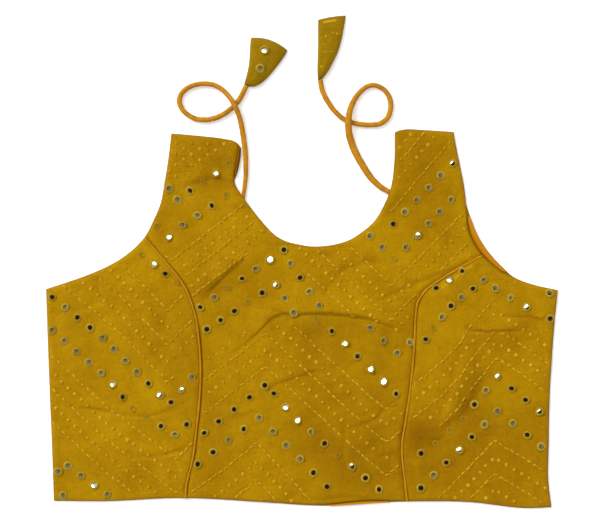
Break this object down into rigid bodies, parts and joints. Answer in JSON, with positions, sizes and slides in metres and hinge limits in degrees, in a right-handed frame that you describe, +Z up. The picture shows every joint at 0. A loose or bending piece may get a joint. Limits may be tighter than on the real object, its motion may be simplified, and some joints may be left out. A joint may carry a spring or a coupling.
{
  "type": "mirror work blouse",
  "caption": "Sleeveless fitted blouse with a deep round neck, princess seams and mirror embroidery, laid flat front up, with looped neck ties ending in cloth tassels",
  "frame": {"origin": "centre of the garment's footprint, without the ties and tassels, on the surface that it lies on", "axes": "+X across the blouse towards the right of the picture, +Y from the hem to the shoulders, +Z up out of the front"},
  "size_m": [0.4906, 0.4723, 0.009],
  "materials": {
    "cloth": "soft sheen",
    "back_cloth": "matte",
    "piping": "soft sheen",
    "facing": "soft sheen",
    "dori": "soft sheen",
    "latkan": "soft sheen",
    "thread": "silky",
    "mirror": "polished"
  },
  "bodies": {
    "root": {"front_centre": "cloth", "front_side_left": "cloth", "front_side_right": "cloth", "back_left": "back_cloth", "back_right": "back_cloth", "piping_left": "piping", "piping_right": "piping", "armhole_facing": "facing", "strap_facing": "facing", "hem_facing": "facing", "dori_left": "dori", "dori_right": "dori", "latkan_left": "latkan", "latkan_right": "latkan"}
  },
  "joints": []
}
